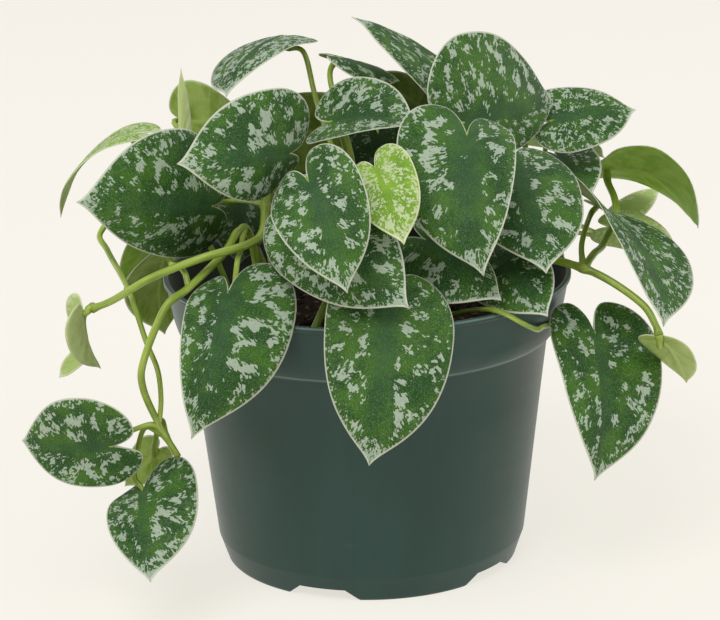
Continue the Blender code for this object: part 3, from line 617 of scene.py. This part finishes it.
def smooth_path(points, count):
    """count points, evenly spaced, on a smooth curve through the given ones."""
    points = [Vector(p) for p in points]
    ends = [2 * points[0] - points[1], *points, 2 * points[-1] - points[-2]]
    fine = []
    for before, start, end, after in zip(ends, ends[1:], ends[2:], ends[3:]):
        handles = start + (end - before) / 6, end - (after - start) / 6
        fine += geometry.interpolate_bezier(start, *handles, end, CURVE_STEPS + 1)[:-1]
    fine.append(points[-1])
    lengths = [0.0, *itertools.accumulate((b - a).length for a, b in zip(fine, fine[1:]))]
    found, i = [], 0
    for k in range(count):
        wanted = lengths[-1] * k / (count - 1)
        while i < len(fine) - 2 and lengths[i + 1] < wanted:
            i += 1
        share = (wanted - lengths[i]) / max(lengths[i + 1] - lengths[i], 1e-9)
        found.append(fine[i].lerp(fine[i + 1], share))
    return found


# Leaves


def leaf_axes(leaf):
    """The blade's own directions: along the chord to the tip, to its left, and up out of its upper side."""
    along = (Vector(leaf.tip) - Vector(leaf.base)).normalized()
    turn, height = (math.radians(a) for a in leaf.face)
    face = Vector((math.sin(turn) * math.cos(height), -math.cos(turn) * math.cos(height), math.sin(height)))
    upper = (face - along * face.dot(along)).normalized()
    return along, upper.cross(along), upper


def outline_point(share):
    """(along, across) on the margin of one half, for a share from 0 at the sinus to 1 at the tip."""
    start = 0.0
    for stretch, end in zip(HALF_OUTLINE, OUTLINE_SHARES):
        if share <= end:
            t = (share - start) / (end - start)
            weights = ((1 - t) ** 3, 3 * t * (1 - t) ** 2, 3 * t * t * (1 - t), t**3)
            return tuple(sum(w * p[i] for w, p in zip(weights, stretch)) for i in (0, 1))
        start = end
    return HALF_OUTLINE[-1][-1]


def midrib_length(leaf):
    chord, arch = (Vector(leaf.tip) - Vector(leaf.base)).length, math.radians(leaf.arch)
    return chord / (2 * math.sin(arch / 2)) * arch


def blade_points(leaf, along, across):
    """Points of the blade's middle surface at flat places, in shares of the midrib's length."""
    along, across = np.asarray(along, float), np.asarray(across, float)
    along_axis, left_axis, upper_axis = (np.array(axis) for axis in leaf_axes(leaf))
    arch, length = math.radians(leaf.arch), midrib_length(leaf)
    angle = (arch * (along - 0.5))[:, None]
    spine = along_axis * (np.sin(angle) + math.sin(arch / 2))
    spine = spine + upper_axis * (np.cos(angle) - math.cos(arch / 2))
    upper = along_axis * np.sin(angle) + upper_axis * np.cos(angle)
    twist = (math.radians(leaf.twist) * (along - 0.5))[:, None]
    left = left_axis * np.cos(twist) + upper * np.sin(twist)
    upper = upper * np.cos(twist) - left_axis * np.sin(twist)
    half = leaf.width / 2
    cup = np.where(across > 0, leaf.cup[0], leaf.cup[1])
    rise = (cup * half * (np.abs(across) / half) ** 1.6)[:, None]
    sideways = (across + leaf.lean * np.abs(across) + leaf.hook * along * along)[:, None]
    return np.array(leaf.base) + spine * (length / arch) + (left * sideways + upper * rise) * length


def blade_normals(leaf, along, across):
    step = 0.01
    ahead = blade_points(leaf, along + step, across) - blade_points(leaf, along - step, across)
    left = blade_points(leaf, along, across + step) - blade_points(leaf, along, across - step)
    normals = np.cross(ahead, left)
    return normals / np.linalg.norm(normals, axis=1)[:, None]


def margin_distances(leaf, along, across):
    """From flat places to the margin, in millimetres."""
    margin = np.array([outline_point(i / 160) for i in range(161)]) * (1, leaf.width)
    places = np.stack([along, np.abs(across)], 1)
    starts, spans = margin[:-1], margin[1:] - margin[:-1]
    shares = ((places[:, None] - starts) * spans).sum(2) / np.maximum((spans * spans).sum(1), 1e-12)
    nearest = starts + spans * np.clip(shares, 0, 1)[..., None]
    return np.linalg.norm(places[:, None] - nearest, axis=2).min(1) * midrib_length(leaf)


def blade_grid(leaf):
    """One half's flat places, in rows from the midrib to the margin, with each row's share and each reach."""
    places = []
    for row in range(LEAF_ROWS + 1):
        share = row / LEAF_ROWS
        edge_along, edge_across = outline_point(share)
        rib = share**VEIN_LAG
        for column in range(LEAF_COLUMNS + 1):
            reach = (column / LEAF_COLUMNS) ** 1.25
            places.append((rib + (edge_along - rib) * reach, edge_across * leaf.width * reach, share, reach))
    return np.array(places)


def row_places(half):
    """Each row's length, and how far it lies from the first one, in shares of the midrib's length."""
    ribs, margins = half[::LEAF_COLUMNS + 1, :2], half[LEAF_COLUMNS::LEAF_COLUMNS + 1, :2]
    rows = margins - ribs
    middles = ribs + rows * 0.62
    steps = np.linalg.norm(np.diff(middles, axis=0), axis=1)
    return np.linalg.norm(rows, axis=1), np.concatenate([[0], np.cumsum(steps)])


def leaf_sides(leaf, along, across, share, reach, from_margin, seed):
    """Points of the upper side, then of the lower one: gently waved, with raised veins and a thick midrib."""
    length = midrib_length(leaf)
    from_rib = np.abs(across) * length
    middle = blade_points(leaf, along, across)
    side = np.repeat([1, -1], len(across) // 2)
    normals = blade_normals(leaf, along, np.where(np.abs(across) < 0.002, side * 0.002, across))
    on_rib = np.abs(across) < 1e-6
    normals[on_rib] = blade_normals(leaf, along[on_rib], np.zeros(on_rib.sum()))
    waves = np.array([noise.noise(Vector((x * length / WAVE_LENGTH, y * length / WAVE_LENGTH, seed * 3.7)))
                      for x, y in zip(along, across)])
    veins = np.cos(share * 2 * math.pi * VEIN_COUNT) * np.sin(reach * math.pi)
    swell = waves * WAVE_HEIGHT * reach + veins * VEIN_HEIGHT
    thick = LEAF_THICKNESS / 2 * (0.3 + 0.7 * np.clip(from_margin / 0.9, 0, 1) ** 0.6)
    groove = GROOVE_DEPTH * bulge(from_rib, 0.9) * np.clip(1.1 - along, 0, 1)
    ridge = RIDGE_HEIGHT * bulge(from_rib, 0.85) * np.clip(1.1 - along, 0.1, 1)
    upper = middle + normals * (thick + swell - groove)[:, None]
    lower = middle - normals * (thick - swell + ridge)[:, None]
    return np.concatenate([upper, lower])


def leaf_faces():
    """Faces over both sides' points, and the material of each: 0 above and at the margin, 1 below."""
    width = LEAF_COLUMNS + 1
    count = width * (LEAF_ROWS + 1)
    # The halves share the midrib's points, and the first and last rows are single points
    index = np.arange(2 * count)
    index[count::width] = np.arange(0, count, width)
    for start in (0, count):
        index[start:start + width] = 0
        index[start + count - width:start + count] = count - width
    index = np.concatenate([index, index + 2 * count])
    faces, kinds = [], []

    def add(corners, kind):
        corners = [int(index[c]) for c in corners]
        corners = [c for i, c in enumerate(corners) if c != corners[i - 1]]
        if len(set(corners)) > 2:
            faces.append(corners)
            kinds.append(kind)

    for start, order in ((0, -1), (count, 1)):
        for row in range(start, start + count - width, width):
            for a in range(row, row + LEAF_COLUMNS):
                upper = [a, a + width, a + width + 1, a + 1][::order]
                add(upper, 0)
                add([corner + 2 * count for corner in upper[::-1]], 1)
            a = row + LEAF_COLUMNS
            add([a, a + width, a + width + 2 * count, a + 2 * count][::order], 0)
    return faces, kinds


def build_leaf(name, leaf, materials, seed):
    """Both halves' upper and lower sides, joined along the midrib and round the margin."""
    length = midrib_length(leaf)
    half = blade_grid(leaf)
    along, across, share, reach = (np.concatenate([values, values * sign])
                                   for values, sign in zip(half.T, (1, -1, 1, 1)))
    from_rib, from_margin = np.abs(across) * length, margin_distances(leaf, along, across)
    points = leaf_sides(leaf, along, across, share, reach, from_margin, seed)
    vein_lengths, vein_places = row_places(half)
    row = np.tile(np.repeat(np.arange(LEAF_ROWS + 1), LEAF_COLUMNS + 1), 2)
    along_vein = vein_lengths[row] * reach * length
    own = np.full(len(along), seed * 11.3)
    side = np.repeat([1, -1], len(half))
    by_place = (
        ("flat", along * length, across * length, own),
        ("veins", along_vein, vein_places[row] * length, own + side * 3.1),
        ("blade", along, from_rib, from_margin),
    )
    shade = [shares.get(name, 0) for shares in (PAINTED_SHADE, PAINTED_LIGHT_THROUGH, WASHED)]
    attributes = [(key, np.tile(np.stack(values, 1), (2, 1))) for key, *values in by_place]
    attributes += [(key, np.tile(values, (len(points), 1)))
                   for key, values in (("look", LOOKS.get(name, LOOK)), ("shade", shade))]
    faces, kinds = leaf_faces()
    mesh = new_mesh(name + "_blade", points, faces, attributes)
    mesh.polygons.foreach_set("material_index", kinds)
    for material in materials:
        mesh.materials.append(material)
    shape = bmesh.new()
    shape.from_mesh(mesh)
    bmesh.ops.delete(shape, geom=[v for v in shape.verts if not v.link_faces], context="VERTS")
    shape.to_mesh(mesh)
    shape.free()
    made = add_object(name + "_blade", mesh)
    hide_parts(name)
    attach(made, "root")


# Stems and petioles


def sweep(path, radii, sides, seed, squash=0.0):
    """Rings round a path: points, faces, and each point's (round, along, offset). Squash flattens the top."""
    path = [Vector(p) for p in path]
    tangents = [(b - a).normalized() for a, b in zip(path[:1] + path[:-1], path[1:] + path[-1:])]
    across = tangents[0].cross(UP if abs(tangents[0].z) < 0.9 else Vector((0, 1, 0))).normalized()
    points, marks, length = [], [], 0.0
    for i, (place, tangent, radius) in enumerate(zip(path, tangents, radii)):
        length += (place - path[max(i - 1, 0)]).length
        across = (across - tangent * across.dot(tangent)).normalized()
        above = across.cross(tangent)
        for k in range(sides):
            angle = 2 * math.pi * k / sides
            flatter = 1 - squash * max(0.0, math.sin(angle)) ** 2
            offset = across * math.cos(angle) + above * math.sin(angle) * flatter
            points.append(place + offset * radius)
            marks.append((abs(angle - math.pi) * radius, length, seed * 7.7))
    faces = []
    for i in range(len(path) - 1):
        for k in range(sides):
            a, b = i * sides + k, i * sides + (k + 1) % sides
            faces.append((a, b, b + sides, a + sides))
    faces.append(tuple(range(sides))[::-1])
    faces.append(tuple(range((len(path) - 1) * sides, len(path) * sides)))
    return points, faces, marks


def stem_path(route, spacing=STEM_POINT_SPACING):
    """The stem's points. One that starts in the soil first goes straight up through its hole."""
    root = []
    if len(route[0]) == 2:
        x, y = route[0]
        root = [Vector((x, y, SOIL_HEIGHT - ROOT_DEPTH))]
        route = ((x, y, SOIL_HEIGHT + 3), *route[1:])
    return root + smooth_path(route, max(3, round(path_length(route) / spacing) + 1))


def root_point(route, leaf):
    """The point of the stem's path that the leaf's petiole grows from."""
    wanted = Vector(route[leaf.root])
    return min(stem_path(route), key=lambda point: (point - wanted).length)


def base_directions(leaf):
    """At the blade's base: along its midrib, and up out of its upper side."""
    step = 0.02
    base, ahead, left = (Vector(p) for p in blade_points(leaf, (0, step, 0), (0, 0, step)))
    along = (ahead - base).normalized()
    return along, along.cross(left - base).normalized()


def droop_at_base(leaf, upper):
    """How far the blade comes down to its petiole's side, over the petiole's end."""
    step = leaf.stalk / (Vector(leaf.tip) - Vector(leaf.base)).length
    along, across = np.meshgrid((-step, 0, step), (-step, 0, step))
    drops = (np.array(leaf.base) - blade_points(leaf, along.ravel(), across.ravel())) @ np.array(upper)
    return float(max(math.copysign(1, leaf.meet) * drops))


def petiole_path(vine, leaf):
    """The part's own petiole route, and past its end into the base of the blade."""
    along, upper = base_directions(leaf)
    meet = math.radians(leaf.meet)
    arrive = along * math.cos(meet) + upper * math.sin(meet)
    clear = CAD_THICKNESS / 2 + PETIOLE_GAP + leaf.stalk * math.cos(meet) + droop_at_base(leaf, upper)
    end = Vector(leaf.base) - upper * math.copysign(clear, meet)
    root = root_point(vine.routes[leaf.branch], leaf)
    span = (end - root).length
    rise = ((end - root).normalized() + UP).normalized()
    middle = [Vector(p) for p in leaf.via] or [root + rise * span * leaf.lift]
    last = [end - arrive * min(span * 0.22, leaf.reach)] if leaf.reach else []
    below = upper * math.copysign(0.35, meet)
    into = [Vector(leaf.base) + along * 0.5 - below, Vector(leaf.base) + along * 2.4 - below * 0.6]
    points = [root, *middle, *last, end, *into]
    return smooth_path(points, max(8, round(path_length(points) / FINE_STEP)))


def petiole_radii(path, stalk):
    """Wide where it clasps the stem, slender, a little swollen at the blade, and then tapering into it."""
    lengths = np.concatenate([[0], np.cumsum([(b - a).length for a, b in zip(path, path[1:])])])
    left = lengths[-1] - lengths
    radii = stalk * (0.94 + 0.45 * bulge(lengths, 5.5) + 0.16 * bulge(left - 5.0, 2.2))
    return radii * np.clip(0.12 + 0.88 * left / 2.6, 0, 1)


def stem_radii(path, radius, nodes, end_share):
    """A stem swells at its nodes and thins a little to its end."""
    radii = []
    for i, place in enumerate(path):
        near = min(((place - node).length for node in nodes), default=99.0)
        share = 1 - (1 - end_share) * (i / (len(path) - 1)) ** 2
        radii.append(radius * share * (1 + 0.34 * bulge(near, 2.0) - 0.05 * bulge(near - 4, 1.2)))
    return radii


def build_vine(name, vine, material, seed):
    """Its stems and petioles as one mesh."""
    points, faces, marks = [], [], []

    def join(piece):
        start = len(points)
        points.extend(piece[0])
        faces.extend(tuple(c + start for c in f) for f in piece[1])
        marks.extend(piece[2])

    for number, route in enumerate(vine.routes):
        nodes = [root_point(route, leaf) for leaf in vine.leaves.values() if leaf.branch == number]
        path = stem_path(route, FINE_STEP)
        radius = vine.radius * (BRANCH_SHARE if number else 1.0)
        join(sweep(path, stem_radii(path, radius, nodes, 0.8), STEM_SIDES, seed + number))
    for number, leaf in enumerate(vine.leaves.values()):
        path = petiole_path(vine, leaf)
        join(sweep(path, petiole_radii(path, leaf.stalk), PETIOLE_SIDES, seed + 9 + number, squash=0.25))
    mesh = new_mesh(name + "_stems", points, faces, [("stem", marks)])
    mesh.materials.append(material)
    made = add_object(name + "_stems", mesh)
    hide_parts(name)
    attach(made, "root")


# Pot


def around(radius, degrees):
    """The place at this distance from the pot's axis, at an angle to the right of the front."""
    angle = math.radians(degrees)
    return radius * math.sin(angle), -radius * math.cos(angle)


def turned(name, profile, sides):
    """A profile of (radius, height) points, from the axis and back to it, turned about Z."""
    points, faces, rings = [], [], []
    for radius, height in profile:
        ring = [len(points)] * sides if radius == 0 else [len(points) + k for k in range(sides)]
        for k in range(1 if radius == 0 else sides):
            points.append((*around(radius, 360 * k / sides), height))
        rings.append(ring)
    for low, high in zip(rings, rings[1:]):
        for k in range(sides):
            corners = (low[k], low[(k + 1) % sides], high[(k + 1) % sides], high[k])
            faces.append(tuple(dict.fromkeys(corners)))
    return new_mesh(name, points, faces)


def cutter(name, corners_low, corners_high, low, high):
    """A block between two outlines with the same number of corners."""
    count = len(corners_low)
    points = [(*c, low) for c in corners_low] + [(*c, high) for c in corners_high]
    faces = [tuple(range(count))[::-1], tuple(range(count, 2 * count))]
    faces += [(k, (k + 1) % count, count + (k + 1) % count, count + k) for k in range(count)]
    return add_object(name, new_mesh(name, points, faces))


def pot_cutters():
    """The notches across the foot ring and the drain holes in the floor."""
    inner, outer, below = FOOT_RADIUS - 2 * FOOT_RING_WIDTH, FOOT_RADIUS + FOOT_RING_WIDTH, 2.0
    slope = (NOTCH_FOOT_WIDTH - NOTCH_TOP_WIDTH) / NOTCH_HEIGHT
    made = []
    for i in range(NOTCH_COUNT):
        degrees = NOTCH_FIRST_ANGLE + i * 360 / NOTCH_COUNT
        outlines = []
        for width in (NOTCH_FOOT_WIDTH + slope * below, NOTCH_TOP_WIDTH):
            turn = Matrix.Rotation(math.radians(degrees), 2)
            corners = ((-width / 2, -outer), (width / 2, -outer), (width / 2, -inner), (-width / 2, -inner))
            outlines.append([tuple(turn @ Vector(c)) for c in corners])
        made.append(cutter(f"notch_{i}", *outlines, -below, NOTCH_HEIGHT))
        x, y = around(DRAIN_RING_RADIUS, degrees)
        ring = [(x + DRAIN_RADIUS * math.cos(a), y + DRAIN_RADIUS * math.sin(a))
                for a in (2 * math.pi * k / DRAIN_SIDES for k in range(DRAIN_SIDES))]
        made.append(cutter(f"drain_{i}", ring, ring, 0, 10))
    return made


def pot_profile():
    """(radius, height) from the floor's middle up the inside, down the outside and back under the floor."""
    band_foot, floor_top = POT_HEIGHT - BAND_HEIGHT, FLOOR_HEIGHT + POT_WALL
    foot_inner = FOOT_RADIUS - FOOT_RING_WIDTH
    return [
        (0, floor_top), (BODY_FOOT_RADIUS - POT_WALL - 2, floor_top),
        (BODY_FOOT_RADIUS - POT_WALL, CREASE_HEIGHT + 1),
        (BODY_TOP_RADIUS - POT_WALL, band_foot - 1), (RIM_RADIUS - 7.6, band_foot + 1.2),
        *((RIM_RADIUS - inward, POT_HEIGHT - down) for inward, down in RIM_PROFILE),
        *((RIM_RADIUS - inward, band_foot + up) for inward, up in BAND_FOOT_PROFILE),
        (BODY_TOP_RADIUS + 0.2, band_foot - 0.6), (BODY_TOP_RADIUS, band_foot - 0.9),
        (BODY_TOP_RADIUS - 2.3, 68), (BODY_TOP_RADIUS - 4.6, 48), (BODY_TOP_RADIUS - 6.9, 28),
        (BODY_FOOT_RADIUS + 0.12, CREASE_HEIGHT + 0.8), (BODY_FOOT_RADIUS, CREASE_HEIGHT + 0.2),
        (BODY_FOOT_RADIUS - 0.25, CREASE_HEIGHT - 0.4),
        (FOOT_RADIUS + 0.5, 1.6), (FOOT_RADIUS + 0.2, 0.6), (FOOT_RADIUS - 0.3, 0.1), (FOOT_RADIUS - 0.7, 0),
        (foot_inner + 0.5, 0), (foot_inner, 0.4), (foot_inner - 0.4, FLOOR_HEIGHT - 0.3),
        (foot_inner - 0.9, FLOOR_HEIGHT), (0, FLOOR_HEIGHT),
    ]


def build_pot(material):
    made = add_object("pot_shell", turned("pot_shell", pot_profile(), POT_SIDES))
    cutters = pot_cutters()
    for other in cutters:
        modifier = made.modifiers.new("cut", "BOOLEAN")
        modifier.operation = "DIFFERENCE"
        modifier.object = other
    bpy.context.view_layer.update()
    graph = bpy.context.evaluated_depsgraph_get()
    mesh = bpy.data.meshes.new_from_object(made.evaluated_get(graph))
    made.modifiers.clear()
    made.data = mesh
    for other in cutters:
        bpy.data.objects.remove(other)
    mesh.shade_smooth()
    mesh.set_sharp_from_angle(angle=math.radians(38))
    mesh.materials.clear()
    mesh.materials.append(material)
    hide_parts("pot")
    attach(made, "root")


# Soil


def soil_relief(x, y):
    """Height of the soil's top over its mean, at a place in millimetres."""
    return SOIL_RELIEF * (math.sin(x / 9 + 1) * math.cos(y / 11) + 0.6 * math.sin((x + y) / 6))


def build_crumbs(material):
    """Lumps of bark and peat on the soil."""
    draw = random.Random(4)
    lump = bmesh.new()
    bmesh.ops.create_icosphere(lump, subdivisions=1, radius=1)
    shape = [v.co.copy() for v in lump.verts]
    facets = [[v.index for v in f.verts] for f in lump.faces]
    lump.free()
    points, faces = [], []
    for _ in range(CRUMB_COUNT):
        radius, degrees = (SOIL_RADIUS - 2.5) * math.sqrt(draw.random()), draw.uniform(0, 360)
        x, y = around(radius, degrees)
        size = draw.uniform(0.5, 1.7) * (1.6 if draw.random() < 0.12 else 1.0)
        stretch = Vector((draw.uniform(0.7, 1.6), draw.uniform(0.6, 1.1), draw.uniform(0.4, 0.8)))
        turn = Matrix.Rotation(draw.uniform(0, 6.3), 3, "Z")
        turn = turn @ Matrix.Rotation(draw.uniform(-0.6, 0.6), 3, "X")
        centre = Vector((x, y, SOIL_HEIGHT + soil_relief(x, y) + size * 0.15))
        faces += [[c + len(points) for c in f] for f in facets]
        for corner in shape:
            rough = corner * draw.uniform(0.75, 1.2) * size
            points.append(centre + turn @ (rough * stretch))
    mesh = new_mesh("soil_crumbs", points, faces)
    mesh.materials.append(material)
    made = add_object("soil_crumbs", mesh)
    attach(made, "root")


def main():
    add_camera()
    add_studio()
    bpy.context.scene.view_settings.view_transform = "Standard"
    stems, soil = stem_material(), soil_material()
    tones = {name: (leaf_upper("leaf_" + name, tone), leaf_under(f"leaf_{name}_under", tone))
             for name, tone in (("satin", GROWN), ("fresh", FRESH), ("pale", PALE))}
    build_pot(pot_material())
    for slot in bpy.data.objects["soil"].material_slots:
        slot.material = soil
    build_crumbs(soil)
    seeds = itertools.count(1)
    for name, vine in VINES.items():
        build_vine(name, vine, stems, next(seeds))
        for leaf_name, leaf in vine.leaves.items():
            young = "fresh" if leaf_name in FRESH_LEAVES else "pale"
            build_leaf(leaf_name, leaf, tones[young if leaf.young else "satin"], next(seeds))


main()
